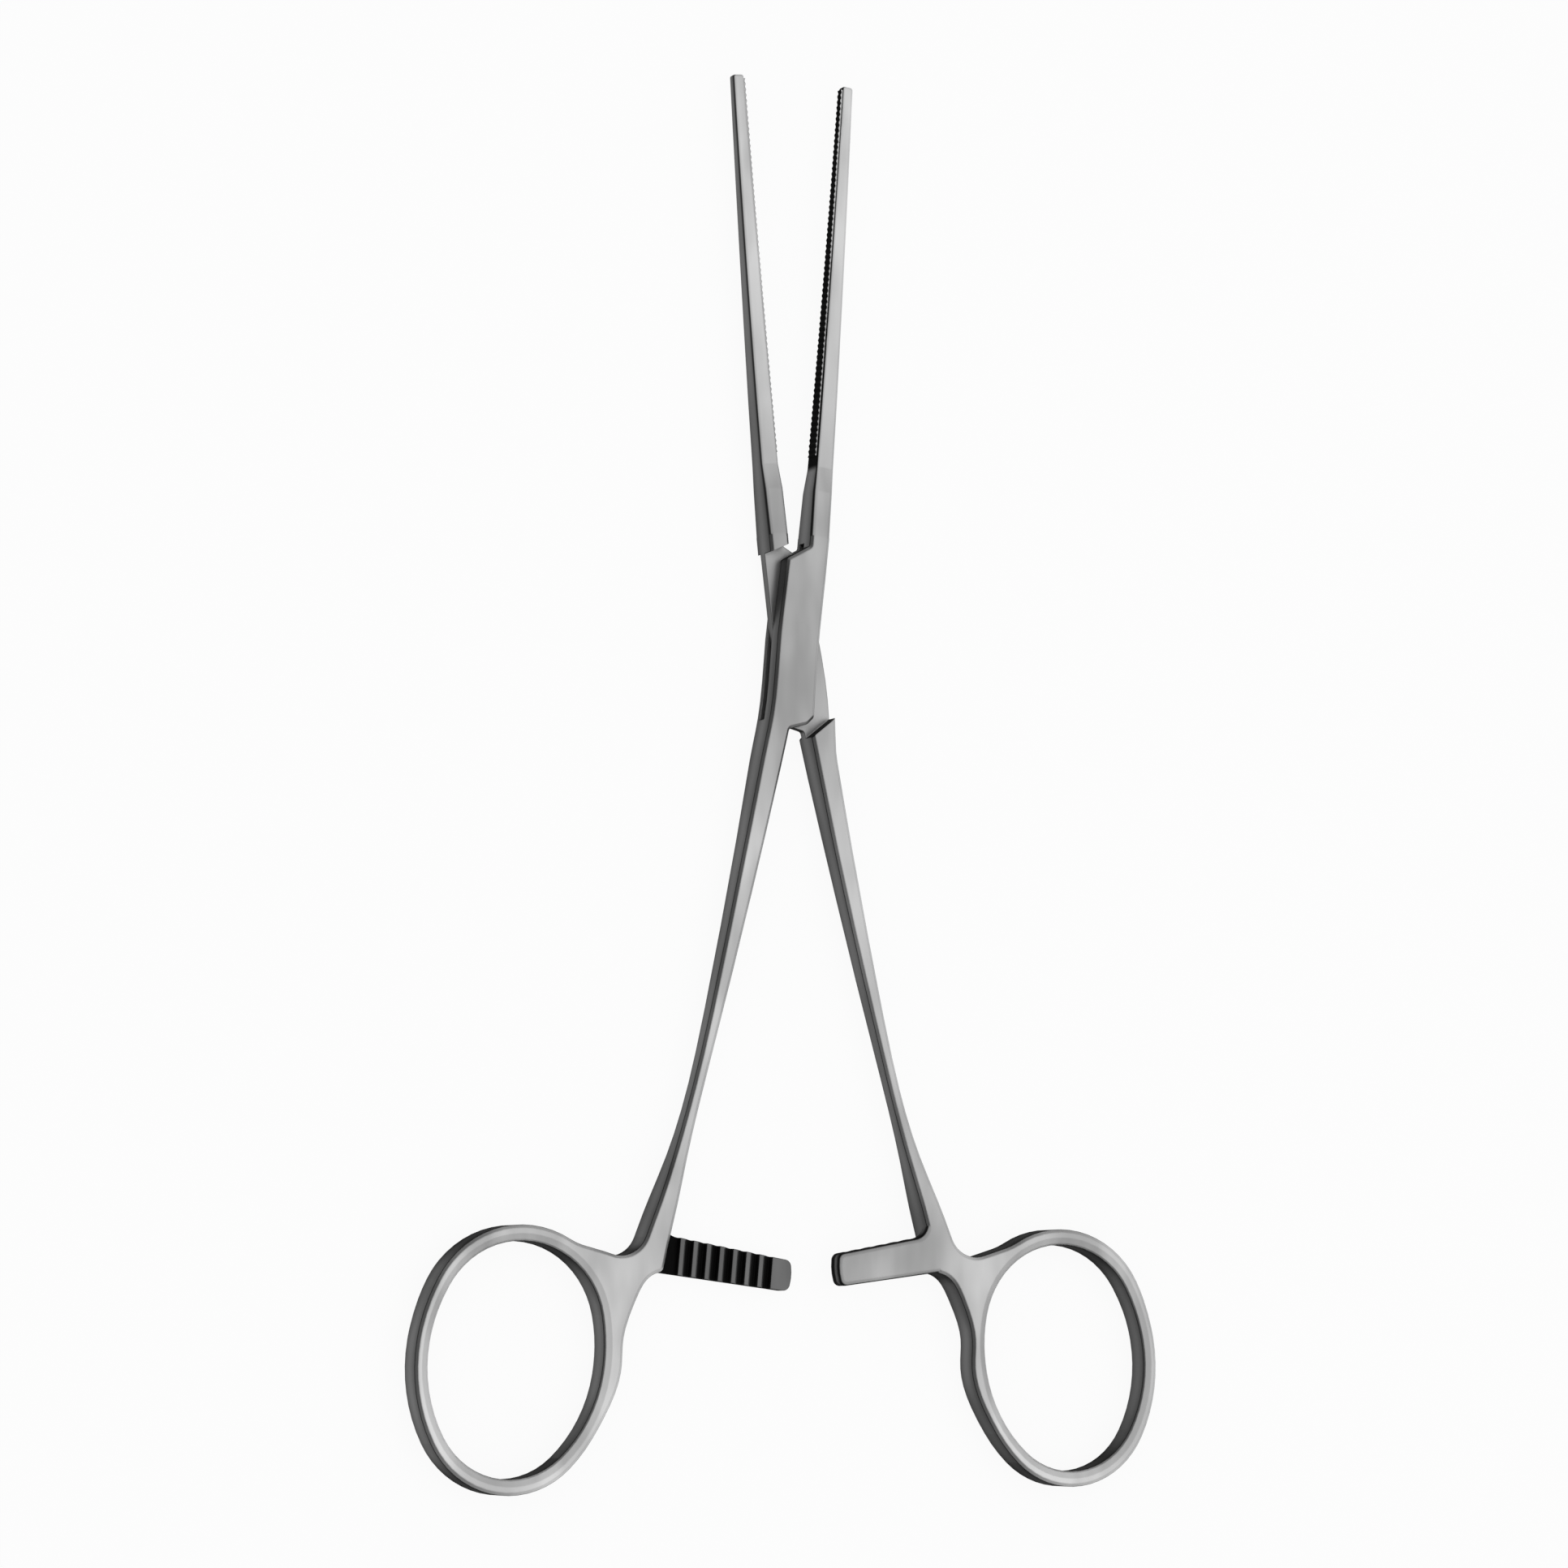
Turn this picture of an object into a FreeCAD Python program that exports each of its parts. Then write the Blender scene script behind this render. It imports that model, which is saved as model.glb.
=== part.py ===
import FreeCAD, Part
import math
import os

from FreeCAD import Vector

# A 20 cm vascular clamp: two forged and ground stainless halves that cross in a box lock.
# Frame: origin on the pivot axis in the plane it lies on, +Y to the jaw tips, +Z up, in mm.
# Each half is drawn with its jaws closed and then turned about the pivot to the rest pose.

# Overall layout
half_open_angle = 5.45
jaw_tip_y = 78.8
box_thickness = 4.8
mid_z = box_thickness / 2
cut_past = 1.0

# Box lock: the box's plates, seen from above
box_half_width = 3.1
box_waist = 0.2
plate_corner_y = 10.1
plate_top_y = 12.35
plate_bottom_y = 13.5
plate_lower_corner_y = 11.4
plate_foot_inset = 0.75
plate_foot_rise = 1.0
plate_flare = 0.35
tongue_flare = 1.2
plate_small_radius = 0.5
plate_large_radius = 0.9
rim_chamfer = 0.44

# Tongue, its slot, and the shoulders that it meets
tongue_thickness = 1.35
tongue_running_gap = 0.06
tongue_offset_to_back = 0.53
shoulder_gap = 0.9
recess_past_side = 3.0
recess_lower_slope = 0.58
recess_upper_slope = 0.36

# Lock pin
pin_radius = 1.4
pin_running_gap = 0.05

# Jaws
jaw_start_y = 13.9
jaw_base_gap = 0.42
jaw_base_width = 2.95
jaw_base_thickness = 4.15
jaw_base_length = 6.4
jaw_base_edge_radius = 0.65
heel_y = 25.3
heel_gap = 0.45
heel_ramp = 1.5
heel_thickness = 3.3
jaw_tip_width = 1.65
jaw_tip_thickness = 1.55
jaw_hollowing = 0.5
jaw_stations = 7
jaw_inner_edge_radius = 0.35
jaw_outer_edge_radius = 0.5
jaw_tip_round = 0.3

# Serrated pads on the jaws
pad_height = 0.25
pad_root = 0.6
pad_edge_margin = 0.25
pad_end_margin = 0.5
tip_touch_gap = 0.02
serration_pitch = 0.8
serration_depth = 0.15

# Shanks: distance of the inner and outer edge from the middle line
shank_start_y = 18.0
shank_start_inner_x = 0.93
shank_start_width = 3.2
shank_upper_y = 50.0
shank_upper_outer_x = 7.72
shank_mid_y = 58.0
shank_mid_inner_x = 7.1
shank_lower_y = 74.0
shank_lower_inner_x = 9.9
shank_lower_outer_x = 11.95
shank_root_y = 84.0
shank_root_inner_x = 11.6
crotch_inset = 0.6

# Shanks: thickness
taper_start_y = 12.0
shank_upper_thickness = 4.12
shank_upper_taper_y = 26.0
shank_waist_thickness = 2.75
taper_end_above_ratchet = 5.0
shank_lower_thickness = 3.35
flat_below_ratchet = 4.0
step_below_ratchet = 13.0

# Finger rings: an oval hole, its upper half blunter than its lower half
ring_inner_limb_x = 17.48
ring_top_y = 85.3
ring_hand_offset = 0.4
ring_hole_half_width = 12.55
ring_hole_upper_length = 15.6
ring_hole_lower_length = 16.0
ring_upper_roundness = 0.948
ring_lower_roundness = 0.853
ring_wire_side_width = 1.9
ring_wire_end_width = 2.15
ring_thickness = 4.3
ring_lean_angle = 4.5
ring_rim_chamfer = 0.58
ring_top_join_angle = 20.8
ring_side_join_angle = 23.0
ring_centre_x = ring_inner_limb_x + ring_wire_side_width + ring_hole_half_width
ring_centre_y = ring_top_y + ring_wire_end_width + ring_hole_upper_length

# Neck: the ring's inner side, below the ratchet arm
neck_corner_inset = 0.15
neck_bend_x = 15.85
neck_bend_y = 93.5
neck_end_x = 17.05
neck_end_y = 98.0

# Saddle between the shank and the ring
saddle_x = 19.1
saddle_y = 88.05
saddle_radius = 4.0
saddle_start_angle = 16.0
saddle_end_angle = 14.0

# Ratchet
ratchet_y = 87.3
ratchet_root_x = 12.2
arm_root_height = 5.2
arm_slope = 0.085
arm_taper = 0.05
arm_crown = 0.3
arm_upper_fillet = 2.2
arm_fillet_inset = 0.6
arm_root_depth = 1.6
female_arm_reach = 7.5
male_arm_reach = 2.5
arm_end_bulge = 0.35
arm_end_radius = 1.0
arm_edge_radius = 0.7
arm_face_gap = 0.1
tooth_pitch = 2.0
tooth_depth = 0.75
tooth_land = 0.6
tooth_ramp = 1.05
tooth_undercut = 0.12
first_tooth_x = 8.86


def at(x, y, z=0.0):
    return Vector(x, y, z)


def turned(shape, angle):
    shape.rotate(at(0, 0), at(0, 0, 1), angle)
    return shape


def mirrored(shape):
    return shape.mirror(at(0, 0), at(1, 0))


def smooth(points, start, end):
    """A smooth curve through the points, with the directions at its two ends."""
    curve = Part.BSplineCurve()
    curve.interpolate(Points=points, InitialTangent=start, FinalTangent=end)
    return curve.toShape()


def line(a, b):
    return Part.LineSegment(a, b).toShape()


def arc(centre, radius, start, end):
    """The stretch of a circle from start to end, the short way round."""
    middle = centre + ((start - centre) + (end - centre)).normalize() * radius
    return Part.Arc(start, middle, end).toShape()


def prism(edges, z_low, z_high):
    face = Part.Face(Part.Wire(Part.__sortEdges__(edges)))
    face.translate(at(0, 0, z_low))
    return face.extrude(at(0, 0, z_high - z_low))


def polygon_prism(points, z_low, z_high):
    face = Part.Face(Part.makePolygon(points + [points[0]]))
    face.translate(at(0, 0, z_low))
    return face.extrude(at(0, 0, z_high - z_low))


def rounded_section(y, x_near, x_far, thickness, r_near, r_far):
    """A closed section in the plane Y = y: a rectangle with its four corners rounded."""
    low = mid_z - thickness / 2
    high = mid_z + thickness / 2
    corners = [
        (x_near, low, r_near, 1, 1),
        (x_far, low, r_far, -1, 1),
        (x_far, high, r_far, -1, -1),
        (x_near, high, r_near, 1, -1),
    ]
    arcs = []
    for number, (x, z, r, side_x, side_z) in enumerate(corners):
        on_x = at(x + side_x * r, y, z)
        on_z = at(x, y, z + side_z * r)
        centre = at(x + side_x * r, y, z + side_z * r)
        ends = (on_z, on_x) if number % 2 == 0 else (on_x, on_z)
        arcs.append((centre, r, ends[0], ends[1]))
    edges = []
    for number, corner in enumerate(arcs):
        edges.append(arc(*corner))
        edges.append(line(corner[3], arcs[(number + 1) % len(arcs)][2]))
    return Part.Wire(edges)


def face_line(y):
    """Distance of a jaw's serrated face from the closing plane: the tips meet first."""
    along = (y - heel_y) / (jaw_tip_y - heel_y)
    return tip_touch_gap + heel_gap * (1 - along * along)


def jaw():
    """A jaw on the +X side, a loft from the top of the box to the tip."""
    near = jaw_base_gap
    far = jaw_base_gap + jaw_base_width
    heel_x = face_line(heel_y) + pad_height
    heel_width = far - heel_x
    base_y = jaw_start_y + jaw_base_length
    sections = [
        (jaw_start_y, near, far, box_thickness, jaw_base_edge_radius, jaw_base_edge_radius),
        (base_y, near, far, jaw_base_thickness, jaw_base_edge_radius, jaw_base_edge_radius),
        (heel_y - heel_ramp, heel_x, far, heel_thickness, jaw_inner_edge_radius, jaw_outer_edge_radius),
    ]
    for number in range(jaw_stations):
        share = (number + 1) / jaw_stations
        y = heel_y + share * (jaw_tip_y - heel_y)
        inner = face_line(y) + pad_height
        left_over = 1 - share
        width = jaw_tip_width + (heel_width - jaw_tip_width) * left_over
        thickness = jaw_tip_thickness + (heel_thickness - jaw_tip_thickness) * left_over
        thickness -= jaw_hollowing * left_over * share
        sections.append((y, inner, inner + width, thickness, jaw_inner_edge_radius, jaw_outer_edge_radius))
    loft = Part.makeLoft([rounded_section(*section) for section in sections], True, True)
    tip_edges = [edge for edge in loft.Edges if edge.BoundBox.YMin > jaw_tip_y - jaw_tip_round / 2]
    return loft.makeFillet(jaw_tip_round, tip_edges)


def pad():
    """The serrated gripping face, a saw-tooth strip that stands a little proud of the jaw."""
    end_y = jaw_tip_y - pad_end_margin
    count = int((end_y - heel_y) / serration_pitch)
    inside = pad_height + pad_root
    points = []
    for number in range(count):
        y = end_y - number * serration_pitch
        middle = y - serration_pitch / 2
        points.append(at(face_line(y), y))
        points.append(at(face_line(middle) + serration_depth, middle))
    last = end_y - count * serration_pitch
    points.append(at(face_line(last), last))
    points.append(at(face_line(last) + inside, last - pad_end_margin))
    points.append(at(face_line(end_y) + inside, end_y))
    strip = polygon_prism(points, 0, box_thickness)
    tip_half = jaw_tip_thickness / 2 - pad_edge_margin
    heel_half = heel_thickness / 2 - pad_edge_margin * 2
    corners = [
        at(0, jaw_tip_y, mid_z - tip_half),
        at(0, jaw_tip_y, mid_z + tip_half),
        at(0, heel_y - heel_ramp, mid_z + heel_half),
        at(0, heel_y - heel_ramp, mid_z - heel_half),
    ]
    limits = Part.Face(Part.makePolygon(corners + [corners[0]])).extrude(at(jaw_base_width, 0))
    return strip.common(limits)


def side_profile():
    """The half's side view as a solid: it thins between the box and the ratchet."""
    flat_start = taper_end_above_ratchet - ratchet_y
    flat_end = -ratchet_y - flat_below_ratchet
    ring_start = -ratchet_y - step_below_ratchet
    last = -ring_centre_y - ring_hole_lower_length - ring_wire_end_width - cut_past
    side = ring_centre_x + ring_hole_half_width + ring_wire_side_width + cut_past * 2
    stations = [
        (-taper_start_y, box_thickness),
        (-shank_upper_taper_y, shank_upper_thickness),
        (-shank_mid_y, shank_waist_thickness),
        (-shank_lower_y, shank_lower_thickness),
        (flat_start, box_thickness),
    ]
    along = at(0, -1, 0)
    faces = []
    for sign in (1, -1):
        points = [at(0, y, mid_z + sign * thickness / 2) for y, thickness in stations]
        outer_z = points[0].z
        ring_z = mid_z + sign * ring_thickness / 2
        faces.append([
            line(at(0, jaw_start_y + cut_past, outer_z), points[0]),
            smooth(points, along, along),
            line(points[-1], at(0, flat_end, outer_z)),
            smooth([at(0, flat_end, outer_z), at(0, ring_start, ring_z)], along, along),
            line(at(0, ring_start, ring_z), at(0, last, ring_z)),
        ])
    upper, lower = faces
    start = line(lower[0].Vertexes[0].Point, upper[0].Vertexes[0].Point)
    end = line(upper[-1].Vertexes[-1].Point, lower[-1].Vertexes[-1].Point)
    face = Part.Face(Part.Wire(Part.__sortEdges__([start] + upper + [end] + lower)))
    face.translate(at(-side, 0))
    return face.extrude(at(side * 2, 0))


def ring_axes():
    """The directions along and across a leaning ring."""
    lean = math.radians(ring_lean_angle)
    return at(-math.sin(lean), math.cos(lean)), at(math.cos(lean), math.sin(lean))


class HalfOval:
    """Half an oval: an end arc and two side arcs, which meet the other half where it is widest."""

    def __init__(self, middle, half_width, length, end_radius, sign):
        self.long_way, self.short_way = ring_axes()
        self.along = self.long_way * sign
        self.middle = middle
        self.half_width = half_width
        self.end_radius = end_radius
        self.end_centre = middle + self.along * (length - end_radius)
        reach = (length - end_radius) ** 2 + half_width ** 2 - end_radius ** 2
        self.side_radius = reach / (2 * (half_width - end_radius))

    def side_centre(self, side):
        return self.middle - self.short_way * side * (self.side_radius - self.half_width)

    def widest(self, side):
        return self.middle + self.short_way * side * self.half_width

    def meeting(self, side):
        """Where the end arc meets the side arc."""
        centre = self.side_centre(side)
        return centre + (self.end_centre - centre).normalize() * self.side_radius

    def end_point(self, angle):
        """A point of the end arc, at an angle from the long way towards the inner side."""
        turn = math.radians(angle)
        out = self.along * math.cos(turn) - self.short_way * math.sin(turn)
        return self.end_centre + out * self.end_radius

    def side_point(self, side, angle):
        """A point of a side arc, at an angle from its widest point towards the end."""
        turn = math.radians(angle)
        out = self.short_way * side * math.cos(turn) + self.along * math.sin(turn)
        return self.side_centre(side) + out * self.side_radius

    def side_arc(self, side, start, end):
        return arc(self.side_centre(side), self.side_radius, start, end)

    def end_arc(self, start, end):
        return arc(self.end_centre, self.end_radius, start, end)


def ring_ovals(offset, side_width, end_width):
    """The upper and lower half of an oval that lies round the ring's hole."""
    middle = at(ring_centre_x + offset, -ring_centre_y)
    half_width = ring_hole_half_width + side_width
    upper_radius = ring_hole_half_width * ring_upper_roundness + side_width
    lower_radius = ring_hole_half_width * ring_lower_roundness + side_width
    upper = HalfOval(middle, half_width, ring_hole_upper_length + end_width, upper_radius, 1)
    lower = HalfOval(middle, half_width, ring_hole_lower_length + end_width, lower_radius, -1)
    return upper, lower


def ring_hole(offset):
    upper, lower = ring_ovals(offset, 0, 0)
    edges = [
        upper.end_arc(upper.meeting(-1), upper.meeting(1)),
        lower.end_arc(lower.meeting(1), lower.meeting(-1)),
    ]
    for half in (upper, lower):
        for side in (1, -1):
            edges.append(half.side_arc(side, half.meeting(side), half.widest(side)))
    return prism(edges, -cut_past, box_thickness + cut_past)


def hole_share(edge, offset):
    """How far out an edge's middle lies, 1 being the wall of the ring's hole."""
    middle = edge.valueAt((edge.FirstParameter + edge.LastParameter) / 2)
    across = (middle.x - ring_centre_x - offset) / ring_hole_half_width
    length = ring_hole_upper_length if middle.y > -ring_centre_y else ring_hole_lower_length
    along = (middle.y + ring_centre_y) / length
    return math.hypot(across, along)


def rim_edges(solid):
    """The edges between the side walls and the front or back face, without the jaw's end."""
    found = []
    for edge in solid.Edges:
        box = edge.BoundBox
        flat_enough = box.ZLength < 0.6 * max(box.XLength, box.YLength)
        off_middle = abs(edge.CenterOfMass.z - mid_z) > box_thickness * 0.05
        if flat_enough and off_middle and box.YMin < jaw_start_y - plate_small_radius / 10:
            found.append(edge)
    return found


def body(flare, offset):
    """Box, shank, saddle and finger ring of a half as one outline, shank on the +X side."""
    w = box_half_width
    upper, lower = ring_ovals(offset, ring_wire_side_width, ring_wire_end_width)
    top_join = upper.end_point(ring_top_join_angle)
    top_turn = math.radians(ring_top_join_angle)
    top_heading = upper.short_way * math.cos(top_turn) + upper.long_way * math.sin(top_turn)
    side_join = lower.side_point(-1, ring_side_join_angle)
    side_turn = math.radians(ring_side_join_angle)
    side_heading = lower.short_way * math.sin(side_turn) - lower.long_way * math.cos(side_turn)

    top_corner = at(w - box_waist, plate_corner_y)
    bottom_corner = at(w + flare, -plate_bottom_y + plate_foot_rise)
    shank_start = at(shank_start_inner_x + shank_start_width, -shank_start_y)
    down_shank = at(0.1, -1)
    box_outer = smooth(
        [top_corner, at(w + flare / 2, 0), bottom_corner, shank_start], at(0, -1), down_shank
    )
    saddle = at(saddle_x, -saddle_y + saddle_radius)
    into_saddle = math.radians(saddle_start_angle)
    out_of_saddle = math.radians(saddle_end_angle)
    saddle_start = saddle + at(-math.cos(into_saddle), -math.sin(into_saddle)) * saddle_radius
    saddle_end = saddle + at(math.sin(out_of_saddle), -math.cos(out_of_saddle)) * saddle_radius
    outer = smooth(
        [
            shank_start,
            at(shank_upper_outer_x, -shank_upper_y),
            at(shank_lower_outer_x, -shank_lower_y),
            saddle_start,
        ],
        down_shank,
        at(math.sin(into_saddle), -math.cos(into_saddle)),
    )
    rise = smooth(
        [saddle_end, top_join], at(math.cos(out_of_saddle), math.sin(out_of_saddle)), top_heading
    )
    crotch = at(shank_start_inner_x - crotch_inset, -plate_bottom_y)
    neck_corner = at(ratchet_root_x + neck_corner_inset, arm_low(ratchet_root_x + neck_corner_inset))
    inner = smooth(
        [
            crotch,
            at(shank_start_inner_x, -shank_start_y),
            at(shank_mid_inner_x, -shank_mid_y),
            at(shank_lower_inner_x, -shank_lower_y),
            at(shank_root_inner_x, -shank_root_y),
            neck_corner,
        ],
        at(0.14, -1),
        at(0.1, -1),
    )
    neck = smooth(
        [neck_corner, at(neck_bend_x, -neck_bend_y), at(neck_end_x, -neck_end_y), side_join],
        at(1, -0.2),
        side_heading,
    )
    foot = at(-w + plate_foot_inset, -plate_bottom_y + plate_foot_rise)
    lower_corner = at(-w - box_waist, -plate_lower_corner_y)
    jaw_far = at(-jaw_base_gap - jaw_base_width, jaw_start_y)
    jaw_near = at(-jaw_base_gap, jaw_start_y)
    jaw_root = at(-jaw_base_gap, plate_top_y)
    edges = [
        box_outer,
        outer,
        arc(saddle, saddle_radius, saddle_start, saddle_end),
        rise,
        upper.end_arc(top_join, upper.meeting(1)),
        upper.side_arc(1, upper.meeting(1), upper.widest(1)),
        lower.side_arc(1, lower.widest(1), lower.meeting(1)),
        lower.end_arc(lower.meeting(1), lower.meeting(-1)),
        lower.side_arc(-1, lower.meeting(-1), side_join),
        inner,
        neck,
        line(crotch, foot),
        line(foot, lower_corner),
        smooth([lower_corner, at(-w, 0), jaw_far], at(0.05, 1), at(0, 1)),
        line(jaw_far, jaw_near),
        line(jaw_near, jaw_root),
        line(jaw_root, top_corner),
    ]
    solid = prism(edges, -cut_past, box_thickness + cut_past)
    corner_radii = [
        (crotch, plate_small_radius),
        (neck_corner, plate_large_radius),
        (foot, plate_large_radius),
        (lower_corner, plate_large_radius),
        (jaw_root, plate_small_radius),
        (top_corner, plate_small_radius),
    ]
    for corner, radius in corner_radii:
        solid = solid.makeFillet(radius, [edge for edge in solid.Edges if is_upright(edge, corner)])
    solid = solid.cut(ring_hole(offset)).common(side_profile())
    hole_rims = [edge for edge in rim_edges(solid) if hole_share(edge, offset) < 1.06]
    solid = solid.makeChamfer(ring_rim_chamfer, hole_rims)
    outer_rims = [edge for edge in rim_edges(solid) if hole_share(edge, offset) > 1.06]
    return solid.makeChamfer(rim_chamfer, outer_rims)


def is_upright(edge, corner):
    """Whether an edge is the upright one at a corner of the outline."""
    away = math.hypot(edge.CenterOfMass.x - corner.x, edge.CenterOfMass.y - corner.y)
    return away < plate_small_radius / 10 and edge.BoundBox.ZLength > box_thickness


def arm_top(x):
    return -ratchet_y + arm_root_height / 2 + arm_crown - arm_slope * (ratchet_root_x - x)


def arm_low(x):
    return arm_top(x) - arm_root_height + arm_taper * (ratchet_root_x - x)


def arm(reach, toothed_up):
    """A ratchet arm on the +X side: it points towards -X and fills half the thickness."""
    root_x = ratchet_root_x
    end = -reach
    height = mid_z - arm_face_gap / 2
    fillet_x = root_x - arm_fillet_inset
    upper_root = at(fillet_x, arm_top(root_x) + arm_upper_fillet)
    upper_end = at(fillet_x - arm_upper_fillet, arm_top(fillet_x - arm_upper_fillet))
    inside_low = at(root_x + arm_root_depth, arm_low(root_x) + arm_crown)
    inside = at(root_x + arm_root_depth, arm_top(root_x))
    neck_start = at(root_x + neck_corner_inset, arm_low(root_x + neck_corner_inset))
    tip_top = at(end, arm_top(end))
    tip_middle = at(end - arm_end_bulge, (arm_top(end) + arm_low(end)) / 2)
    tip_low = at(end, arm_low(end))
    edges = [
        smooth([upper_root, upper_end], at(-0.1, -1), at(-1, -arm_slope)),
        line(upper_end, tip_top),
        Part.Arc(tip_top, tip_middle, tip_low).toShape(),
        line(tip_low, neck_start),
        line(neck_start, inside_low),
        line(inside_low, inside),
        line(inside, upper_root),
    ]
    bar = prism(edges, 0, height)
    corners = (tip_top, tip_low)
    uprights = [
        edge
        for edge in bar.Edges
        if edge.BoundBox.ZLength > height / 2 and min(away(edge, corner) for corner in corners) < arm_end_bulge
    ]
    bar = bar.makeFillet(arm_end_radius, uprights)
    back = [
        edge
        for edge in bar.Edges
        if edge.BoundBox.ZMax < arm_edge_radius / 10 and edge.CenterOfMass.x < root_x
    ]
    bar = bar.makeFillet(arm_edge_radius, back)
    bar = bar.cut(tooth_gaps(end, height))
    if not toothed_up:
        bar = bar.mirror(at(0, 0, mid_z), at(0, 0, 1))
    return bar


def away(edge, corner):
    return math.hypot(edge.CenterOfMass.x - corner.x, edge.CenterOfMass.y - corner.y)


def tooth_gaps(end, height):
    """The gaps between the ratchet teeth, steep on the root side of each tooth."""
    floor = height - tooth_depth
    over = height + cut_past
    x = first_tooth_x
    first_end = first_tooth_x + tooth_land / 2
    profiles = [
        [
            (ratchet_root_x, over),
            (ratchet_root_x, floor),
            (first_end + tooth_undercut, floor),
            (first_end, height),
            (first_end, over),
        ]
    ]
    while x - tooth_pitch > end + tooth_land:
        a = x - tooth_land / 2
        b = x - tooth_pitch + tooth_land / 2
        profiles.append(
            [(a, over), (a, height), (a - tooth_ramp, floor), (b + tooth_undercut, floor), (b, height), (b, over)]
        )
        x -= tooth_pitch
    gaps = []
    for profile in profiles:
        points = [at(x, -ratchet_y - arm_root_height * 2, z) for x, z in profile]
        face = Part.Face(Part.makePolygon(points + [points[0]]))
        gaps.append(face.extrude(at(0, arm_root_height * 4)))
    return gaps[0].multiFuse(gaps[1:])


def blank(flare, offset, reach, toothed_up):
    """A whole forged half before the lock is machined: shank on +X, jaw on -X."""
    parts = [mirrored(jaw()), mirrored(pad()), arm(reach, toothed_up)]
    return body(flare, offset).multiFuse(parts).removeSplitter()


def tongue_low():
    return mid_z - tongue_offset_to_back - tongue_thickness / 2


def box_half():
    """The half with the box: a slot for the tongue and a hole for the pin."""
    solid = mirrored(blank(plate_flare, ring_hand_offset, female_arm_reach, True))
    low = tongue_low() - tongue_running_gap
    high = tongue_low() + tongue_thickness + tongue_running_gap
    side = box_half_width + recess_past_side
    bottom = -plate_bottom_y - shoulder_gap
    top = plate_top_y + shoulder_gap
    outline = [
        at(-side, bottom + side * recess_lower_slope),
        at(0, bottom),
        at(side, bottom - cut_past),
        at(side, plate_corner_y),
        at(0, top),
        at(-side, top),
    ]
    slot = polygon_prism(outline, low, high)
    hole = Part.makeCylinder(pin_radius, box_thickness + cut_past * 2, at(0, 0, -cut_past))
    return solid.cut(slot).cut(hole)


def tongue_half():
    """The half with the tongue: recessed front and back between two shoulders."""
    solid = blank(tongue_flare, -ring_hand_offset, male_arm_reach, False)
    low = tongue_low()
    high = tongue_low() + tongue_thickness
    side = box_half_width + recess_past_side
    bottom = -plate_bottom_y - shoulder_gap
    top = plate_top_y + shoulder_gap / 3
    plan = [
        at(-side, bottom - side * recess_lower_slope),
        at(0, bottom - shoulder_gap / 2),
        at(side, bottom + side * recess_lower_slope),
        at(side, plate_corner_y + side * recess_lower_slope),
        at(0, top),
        at(-side, top - side * recess_upper_slope),
    ]
    front = polygon_prism(plan, high, box_thickness + cut_past)
    back = polygon_prism(plan, -cut_past, low)
    radius = pin_radius + pin_running_gap
    hole = Part.makeCylinder(radius, box_thickness + cut_past * 2, at(0, 0, -cut_past))
    return solid.cut(front).cut(back).cut(hole)


def lock_pin():
    """The lock pin, peened into the box's plates and ground flush."""
    return Part.makeCylinder(pin_radius, box_thickness)


def save(shape, name):
    print(name, len(shape.Solids), shape.isValid(), round(shape.Volume, 2))
    shape.Solids[0].exportStep(os.path.join("parts", name + ".step"))


os.makedirs("parts", exist_ok=True)
save(turned(box_half(), -half_open_angle), "box_half")
save(turned(tongue_half(), half_open_angle), "tongue_half")
save(lock_pin(), "lock_pin")
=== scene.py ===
from math import cos, radians, sin

import bpy
from mathutils import Matrix, Vector

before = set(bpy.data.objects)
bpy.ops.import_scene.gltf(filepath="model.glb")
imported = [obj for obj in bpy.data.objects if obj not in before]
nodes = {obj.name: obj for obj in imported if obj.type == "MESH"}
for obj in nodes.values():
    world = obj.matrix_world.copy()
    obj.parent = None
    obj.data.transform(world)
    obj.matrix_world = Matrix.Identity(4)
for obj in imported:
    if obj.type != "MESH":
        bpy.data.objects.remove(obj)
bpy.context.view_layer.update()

# Box half and tongue half: stainless steel, forged, then ground and satin polished along their length.
# The front and back faces are painted brightest, with painted light and shade along the length. The
# flanks are painted dark, a painted shade that is darkest across the length.
# The ratchet and the serrated jaws are cut last, and their grooves are painted nearly black as painted
# shade.
millimetre = 0.001
half_open = radians(5.45)


def worked_out(tree, operation, first, second=None):
    """A sum on one or two shader values, which may be numbers or sockets."""
    step = tree.nodes.new("ShaderNodeMath")
    step.operation = operation
    for place, value in enumerate((first, second)):
        if isinstance(value, bpy.types.NodeSocket):
            tree.links.new(value, step.inputs[place])
        elif value is not None:
            step.inputs[place].default_value = value
    return step.outputs["Value"]


def multiplied(tree, first, second):
    return worked_out(tree, "MULTIPLY", first, second)


def eased(tree, value, start, end, low=0.0, high=1.0, curve="SMOOTHSTEP"):
    """A step of a shader value from low to high, between start and end."""
    step = tree.nodes.new("ShaderNodeMapRange")
    step.interpolation_type = curve
    step.inputs["From Min"].default_value = start
    step.inputs["From Max"].default_value = end
    step.inputs["To Min"].default_value = low
    step.inputs["To Max"].default_value = high
    tree.links.new(value, step.inputs["Value"])
    return step.outputs["Result"]


def greys(tree, value, stops):
    """A run of greys along a shader value: pairs of place and grey."""
    ramp = tree.nodes.new("ShaderNodeValToRGB")
    ramp.color_ramp.interpolation = "EASE"
    while len(ramp.color_ramp.elements) < len(stops):
        ramp.color_ramp.elements.new(1.0)
    for element, (place, grey) in zip(ramp.color_ramp.elements, stops):
        element.position = place
        element.color = (grey, grey, grey, 1)
    tree.links.new(value, ramp.inputs["Fac"])
    return ramp.outputs["Color"]


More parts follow.
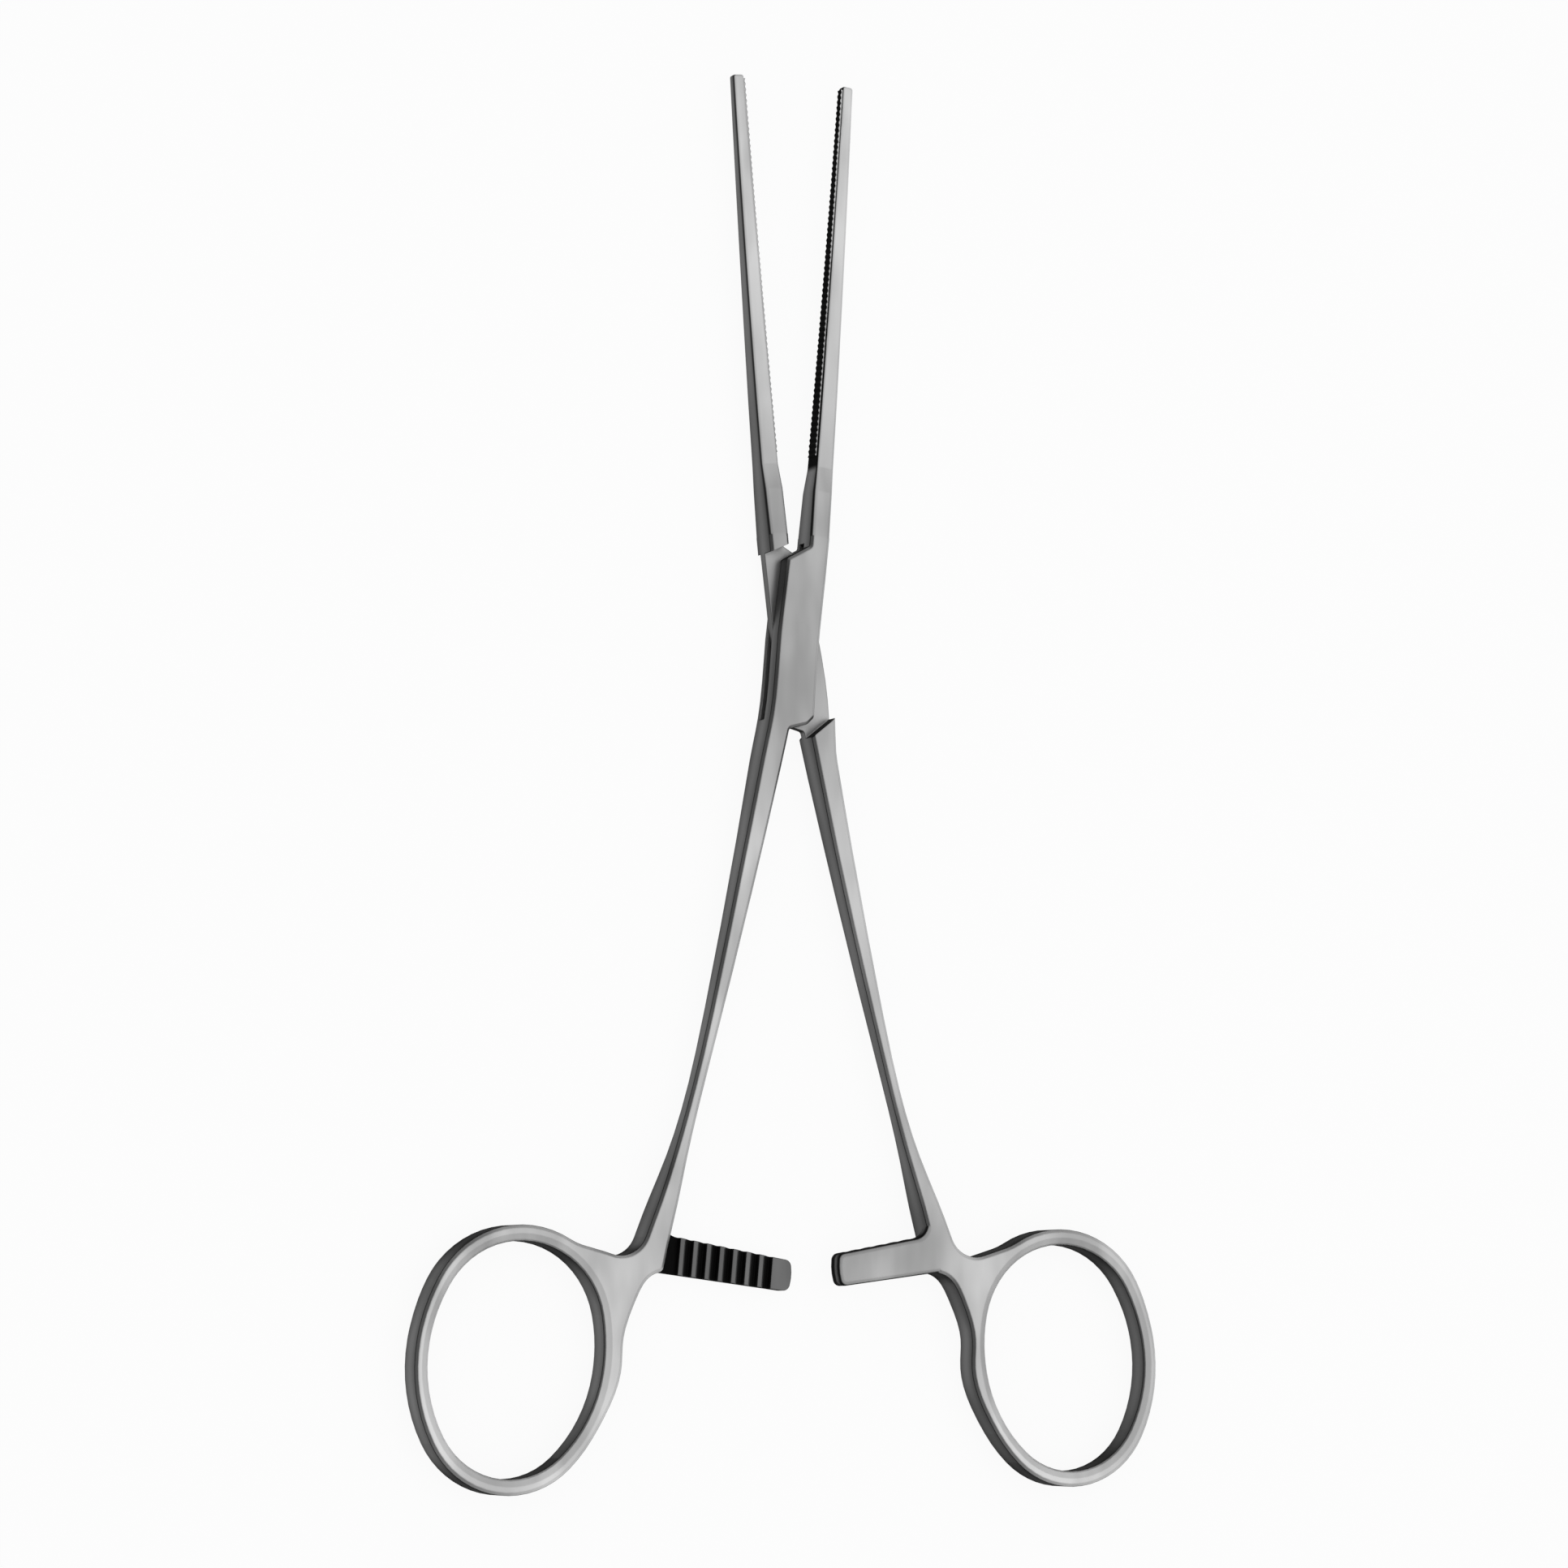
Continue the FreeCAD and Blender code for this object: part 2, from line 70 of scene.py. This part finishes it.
def blended(tree, share, first, second):
    """One grey turning into another by a share from 0 to 1."""
    mix = tree.nodes.new("ShaderNodeMix")
    tree.links.new(share, mix.inputs["Factor"])
    for name, value in (("A", first), ("B", second)):
        if isinstance(value, bpy.types.NodeSocket):
            tree.links.new(value, mix.inputs[name])
        else:
            mix.inputs[name].default_value = value
    return mix.outputs["Result"]


def drawn_noise(tree, place, stretch, scale, detail):
    """Noise drawn out along the instrument, its scale in waves to the millimetre."""
    drawn_out = tree.nodes.new("ShaderNodeMapping")
    drawn_out.inputs["Scale"].default_value = (1.0, stretch, 1.0)
    tree.links.new(place, drawn_out.inputs["Vector"])
    noise = tree.nodes.new("ShaderNodeTexNoise")
    noise.inputs["Scale"].default_value = scale / millimetre
    noise.inputs["Detail"].default_value = detail
    tree.links.new(drawn_out.outputs["Vector"], noise.inputs["Vector"])
    return noise.outputs["Fac"]


# The plane half way through the clamp's thickness, in millimetres above the table.
middle_height = 2.4


class Spot:
    """Where a point of the steel is, in millimetres: across and down as if the clamp were closed."""

    def __init__(self, tree, place):
        apart = tree.nodes.new("ShaderNodeSeparateXYZ")
        tree.links.new(place, apart.inputs["Vector"])
        to_side = worked_out(tree, "DIVIDE", apart.outputs["X"], millimetre)
        self.right = worked_out(tree, "ABSOLUTE", to_side)
        self.along = worked_out(tree, "DIVIDE", apart.outputs["Y"], millimetre)
        self.reach = worked_out(tree, "ABSOLUTE", self.along)
        height = worked_out(tree, "DIVIDE", apart.outputs["Z"], millimetre)
        over_middle = worked_out(tree, "SUBTRACT", height, middle_height)
        self.off_middle = worked_out(tree, "ABSOLUTE", over_middle)
        right_part = multiplied(tree, self.right, cos(half_open))
        reach_part = multiplied(tree, self.reach, sin(half_open))
        self.across = worked_out(tree, "SUBTRACT", right_part, reach_part)
        right_part = multiplied(tree, self.right, sin(half_open))
        reach_part = multiplied(tree, self.reach, cos(half_open))
        self.down = worked_out(tree, "ADD", reach_part, right_part)


# Millimetres: how far the edges are rubbed round, and where that starts outside the pin.
rubbed_edge = 0.24
around_pin = (2.6, 2.9)


def rubbed_way(tree, spot, way):
    """The way the steel faces, with its edges rubbed round, but not where the pin is ground flush."""
    rubbed = tree.nodes.new("ShaderNodeBevel")
    rubbed.samples = 8
    rubbed.inputs["Radius"].default_value = rubbed_edge * millimetre
    from_pin = worked_out(tree, "ADD", spot.right, spot.reach)
    softened = tree.nodes.new("ShaderNodeMix")
    softened.data_type = "VECTOR"
    tree.links.new(eased(tree, from_pin, *around_pin), softened.inputs["Factor"])
    tree.links.new(way, softened.inputs["A"])
    tree.links.new(rubbed.outputs["Normal"], softened.inputs["B"])
    return softened.outputs["Result"]


# Painted light and shade along the length, from the rings to the jaw tips, for the front and back
# faces. For the flanks the painted shade goes by how squarely a flank faces sideways.
rings_to_tips = (-118.0, 80.0)
middle_to_rim = (0.1, 1.9)
face_painted_light = [
    (0.0, 0.58),
    (0.12, 0.54),
    (0.17, 0.48),
    (0.26, 0.50),
    (0.42, 0.52),
    (0.51, 0.39),
    (0.60, 0.37),
    (0.68, 0.41),
    (0.78, 0.53),
    (0.90, 0.60),
    (1.0, 0.68),
]
flank_painted_shade = [(0.0, 0.036), (0.45, 0.032), (0.70, 0.034), (0.88, 0.052), (1.0, 0.100)]
# Painted reflection and shade on the flanks: a paler streak at half height, and darker towards the
# rims.
painted_streak_shares = (1.25, 0.55)
side_to_rim = (0.05, 0.45)
painted_rim_shares = (1.0, 0.6)
# Painted light on slopes that face right.
painted_right_light_gain = 0.18
flank_to_face = (0.50, 0.80)
across_to_sideways = (0.55, 1.0)
# Painted shade: flanks that face along the length are made mostly non-metal, so that they stay dark.
flank_metals = (0.06, 0.8)


def painted_light_greys(tree, spot, lie):
    """Painted light on the faces and painted shade on the flanks, darkest across the length: their grey
    and how much is metal.
    """
    up = worked_out(tree, "ABSOLUTE", lie["Z"])
    sideways = worked_out(tree, "ABSOLUTE", lie["X"])
    face = greys(tree, eased(tree, spot.along, *rings_to_tips, curve="LINEAR"), face_painted_light)

    # A painted paler streak, standing for reflection, runs along each flank at half height, and painted
    # shade darkens the flank towards its rims.
    flank = greys(tree, sideways, flank_painted_shade)
    flank = multiplied(tree, flank, eased(tree, spot.off_middle, *middle_to_rim, *painted_streak_shares))
    flank = multiplied(tree, flank, eased(tree, up, *side_to_rim, *painted_rim_shares))

    # Painted light: slopes that face right turn to the face's lighter grey a little sooner than those
    # that face left.
    lit_side = worked_out(tree, "ADD", up, multiplied(tree, lie["X"], painted_right_light_gain))
    turned_up = eased(tree, lit_side, *flank_to_face)
    tone = blended(tree, turned_up, flank, face)
    # Painted shade: flanks that face along the length lose most of their metal, so that they reflect
    # little.
    flank_metal = eased(tree, sideways, *across_to_sideways, *flank_metals)
    metal = blended(tree, turned_up, flank_metal, 1.0)
    return tone, metal


# Where each painted shade of the ratchet starts to change and where it has changed, in millimetres.
shank_to_arm = (12.35, 12.25)
shank_end = (-78.0, -80.0)
arm_upper_edge = (84.3, 84.5)
arm_back_to_face = (1.3, 0.9)
tooth_to_groove = (0.06, 0.32)
shank_side_to_arm = (18.0, 9.0)
shank_to_ring = (-74.0, -84.0)
shaded_share = 0.78
toothed_painted_shade = 0.38
groove_painted_shade = 0.010
groove_metal = 0.05


def ratchet_greys(tree, spot, tone, metal):
    """Painted shade on the ratchet: its grooves, cut into the inner face of each arm, painted nearly
    black, the toothed face painted darker, and the shade of the arm beside it.
    """
    past_shank = eased(tree, spot.along, *shank_end)
    below_edge = eased(tree, spot.down, *arm_upper_edge)
    inward = eased(tree, spot.across, *shank_to_arm)
    on_arm = multiplied(tree, inward, multiplied(tree, past_shank, below_edge))
    beside_across = eased(tree, spot.across, *shank_side_to_arm)
    beside_arm = multiplied(tree, beside_across, eased(tree, spot.along, *shank_to_ring))
    tone = multiplied(tree, tone, eased(tree, beside_arm, 0.0, 1.0, 1.0, shaded_share))
    toothed = multiplied(tree, on_arm, eased(tree, spot.off_middle, *arm_back_to_face))
    tone = blended(tree, toothed, tone, multiplied(tree, tone, toothed_painted_shade))
    groove = multiplied(tree, toothed, eased(tree, spot.off_middle, *tooth_to_groove))
    return blended(tree, groove, tone, groove_painted_shade), blended(tree, groove, metal, groove_metal)


# Where the serrated pad, painted nearly black as painted shade, starts along the jaw and across it, in
# millimetres.
jaw_base_to_pad = (23.0, 24.0)
jaw_side_to_pad = (0.85, 0.75)
rim_to_pad = (0.8, 0.45)
serration_painted_shade = 0.006


def serration_greys(tree, spot, lie, tone, metal):
    """Painted shade, nearly black, over the serrations on the closing face of each jaw."""
    up = worked_out(tree, "ABSOLUTE", lie["Z"])
    on_jaw = eased(tree, spot.along, *jaw_base_to_pad)
    serrated = multiplied(tree, on_jaw, eased(tree, spot.across, *jaw_side_to_pad))
    serrated = multiplied(tree, serrated, eased(tree, up, *rim_to_pad))
    return blended(tree, serrated, tone, serration_painted_shade), blended(tree, serrated, metal, groove_metal)


# Crevices are shaded within crevice_depth, in millimetres. The polish is never quite even.
crevice_depth = 2.2
crevice_to_open = (0.15, 0.72)
crevice_shares = (0.03, 1.0)
cloud_shares = (0.93, 1.06)
patch_shares = (0.80, 1.14)
polish_roughness = (0.32, 0.44)
grain_strength = 0.05
grain_depth = 0.01


def satin_steel(name, edges_rubbed):
    """Satin polished steel, with painted light and shade by how the surface lies and where it is on the
    instrument.
    """
    steel = bpy.data.materials.new(name)
    steel.use_nodes = True
    tree = steel.node_tree
    tree.nodes.clear()
    out = tree.nodes.new("ShaderNodeOutputMaterial")
    polish = tree.nodes.new("ShaderNodeBsdfPrincipled")
    polish.inputs["Specular IOR Level"].default_value = 0.0
    tree.links.new(polish.outputs["BSDF"], out.inputs["Surface"])

    place = tree.nodes.new("ShaderNodeTexCoord").outputs["Object"]
    spot = Spot(tree, place)
    way = tree.nodes.new("ShaderNodeNewGeometry").outputs["Normal"]
    if edges_rubbed:
        way = rubbed_way(tree, spot, way)
    lie = tree.nodes.new("ShaderNodeSeparateXYZ")
    tree.links.new(way, lie.inputs["Vector"])
    tone, metal = painted_light_greys(tree, spot, lie.outputs)
    tone, metal = ratchet_greys(tree, spot, tone, metal)
    tone, metal = serration_greys(tree, spot, lie.outputs, tone, metal)

    # Crevices of the box lock and the ratchet roots see no light.
    shelter = tree.nodes.new("ShaderNodeAmbientOcclusion")
    shelter.samples = 8
    shelter.inputs["Distance"].default_value = crevice_depth * millimetre
    open_air = eased(tree, shelter.outputs["AO"], *crevice_to_open, *crevice_shares)
    tone = multiplied(tree, tone, open_air)
    tree.links.new(multiplied(tree, metal, open_air), polish.inputs["Metallic"])

    # Hand polishing leaves a soft cloudiness and fine lines, drawn out along the length.
    cloud = drawn_noise(tree, place, stretch=0.10, scale=0.35, detail=3.0)
    tone = multiplied(tree, tone, eased(tree, cloud, 0.25, 0.75, *cloud_shares))
    patches = drawn_noise(tree, place, stretch=0.35, scale=0.16, detail=2.0)
    tone = multiplied(tree, tone, eased(tree, patches, 0.3, 0.7, *patch_shares))
    tree.links.new(tone, polish.inputs["Base Color"])
    tree.links.new(eased(tree, cloud, 0.2, 0.8, *polish_roughness), polish.inputs["Roughness"])
    lines = drawn_noise(tree, place, stretch=0.04, scale=9.0, detail=2.0)
    grain = tree.nodes.new("ShaderNodeBump")
    grain.inputs["Strength"].default_value = grain_strength
    grain.inputs["Distance"].default_value = grain_depth * millimetre
    tree.links.new(lines, grain.inputs["Height"])
    tree.links.new(way, grain.inputs["Normal"])
    tree.links.new(grain.outputs["Normal"], polish.inputs["Normal"])
    return steel


forged_finish = satin_steel("satin_forged_steel", True)
for name in ("box_half", "tongue_half"):
    for material_slot in nodes[name].material_slots:
        material_slot.material = forged_finish

# Lock pin: a steel rivet that holds the tongue in the box and lets it turn. It is pressed in, then
# ground flush and polished with the box, so that it can't be seen.
pin_finish = satin_steel("satin_pin_steel", False)
for material_slot in nodes["lock_pin"].material_slots:
    material_slot.material = pin_finish

# Table top: a plain white board with the clamp lying on it. It looks as white as the paper round a
# picture, and keeps the clamp's soft shadow.
table_width = 6.0
table_grey = 0.95
bare_white_share = 0.93


def seen_or_reflected(tree):
    """1 for a ray that the camera sees, directly, mirrored or through something clear."""
    ray = tree.nodes.new("ShaderNodeLightPath")
    seen = worked_out(tree, "MAXIMUM", ray.outputs["Is Camera Ray"], ray.outputs["Is Glossy Ray"])
    return worked_out(tree, "MAXIMUM", seen, ray.outputs["Is Transmission Ray"])


bpy.ops.mesh.primitive_plane_add(size=table_width, location=(0, 0, 0))
table_top = bpy.context.object
table_top.name = "table_top"
white_table = bpy.data.materials.new("white_table")
white_table.use_nodes = True
tree = white_table.node_tree
tree.nodes.clear()
out = tree.nodes.new("ShaderNodeOutputMaterial")
matt_white = tree.nodes.new("ShaderNodeBsdfDiffuse")
matt_white.inputs["Color"].default_value = (table_grey, table_grey, table_grey, 1)
bare_white = tree.nodes.new("ShaderNodeEmission")
bare_white.inputs["Strength"].default_value = 1.0
white_mix = tree.nodes.new("ShaderNodeMixShader")
tree.links.new(multiplied(tree, seen_or_reflected(tree), bare_white_share), white_mix.inputs["Fac"])
tree.links.new(matt_white.outputs["BSDF"], white_mix.inputs[1])
tree.links.new(bare_white.outputs["Emission"], white_mix.inputs[2])
tree.links.new(white_mix.outputs["Shader"], out.inputs["Surface"])
table_top.data.materials.append(white_table)

# Light: a white tent all round fills softly and is what the polished steel mirrors. A large soft box,
# high up on the right, gives the shadow its side.
tent_fill = 0.8
soft_box_width = 0.9
soft_box_watts = 1.0
tent = bpy.data.worlds.new("tent")
bpy.context.scene.world = tent
tent.use_nodes = True
tree = tent.node_tree
tree.nodes.clear()
out = tree.nodes.new("ShaderNodeOutputWorld")
fill = tree.nodes.new("ShaderNodeBackground")
fill.inputs["Strength"].default_value = tent_fill
white = tree.nodes.new("ShaderNodeBackground")
white.inputs["Strength"].default_value = 1.0
tent_mix = tree.nodes.new("ShaderNodeMixShader")
tree.links.new(seen_or_reflected(tree), tent_mix.inputs["Fac"])
tree.links.new(fill.outputs["Background"], tent_mix.inputs[1])
tree.links.new(white.outputs["Background"], tent_mix.inputs[2])
tree.links.new(tent_mix.outputs["Shader"], out.inputs["Surface"])

soft_box = bpy.data.lights.new("soft_box", "AREA")
soft_box.shape = "RECTANGLE"
soft_box.size = soft_box_width
soft_box.size_y = soft_box_width
soft_box.energy = soft_box_watts
soft_box_stand = bpy.data.objects.new("soft_box", soft_box)
soft_box_stand.location = (0.45, -0.1, 1.0)
aim = Vector((0, 0, 0)) - soft_box_stand.location
soft_box_stand.rotation_euler = aim.to_track_quat("-Z", "Y").to_euler()
bpy.context.scene.collection.objects.link(soft_box_stand)

# Camera: a long lens on a stand, which looks down on the clamp from its left, almost level with the
# finger rings. Its focal length is measured in the photograph's own pixels.
lean = radians(26.0)
tip = radians(-6.3009)
roll = radians(-0.154)
distance = 693.6 * millimetre
target = Vector((-1.4808, -20.8835, middle_height)) * millimetre
sensor_width = 36.0
focal_pixels = 6188.9
photo_pixels = 1932
back = Vector((-sin(lean) * cos(tip), sin(tip), cos(lean) * cos(tip)))
right = Vector((cos(lean), 0, sin(lean)))
up = back.cross(right)
turned_right = right * cos(roll) + up * sin(roll)
turned_up = up * cos(roll) - right * sin(roll)
camera = bpy.data.cameras.new("camera")
camera.sensor_fit = "HORIZONTAL"
camera.sensor_width = sensor_width
camera.lens = sensor_width * focal_pixels / photo_pixels
camera.clip_start = 0.05
camera_stand = bpy.data.objects.new("camera", camera)
turn = Matrix((turned_right, turned_up, back)).transposed().to_4x4()
camera_stand.matrix_world = Matrix.Translation(target + back * distance) @ turn
bpy.context.scene.collection.objects.link(camera_stand)
bpy.context.scene.camera = camera_stand

bpy.context.scene.view_settings.view_transform = "Standard"
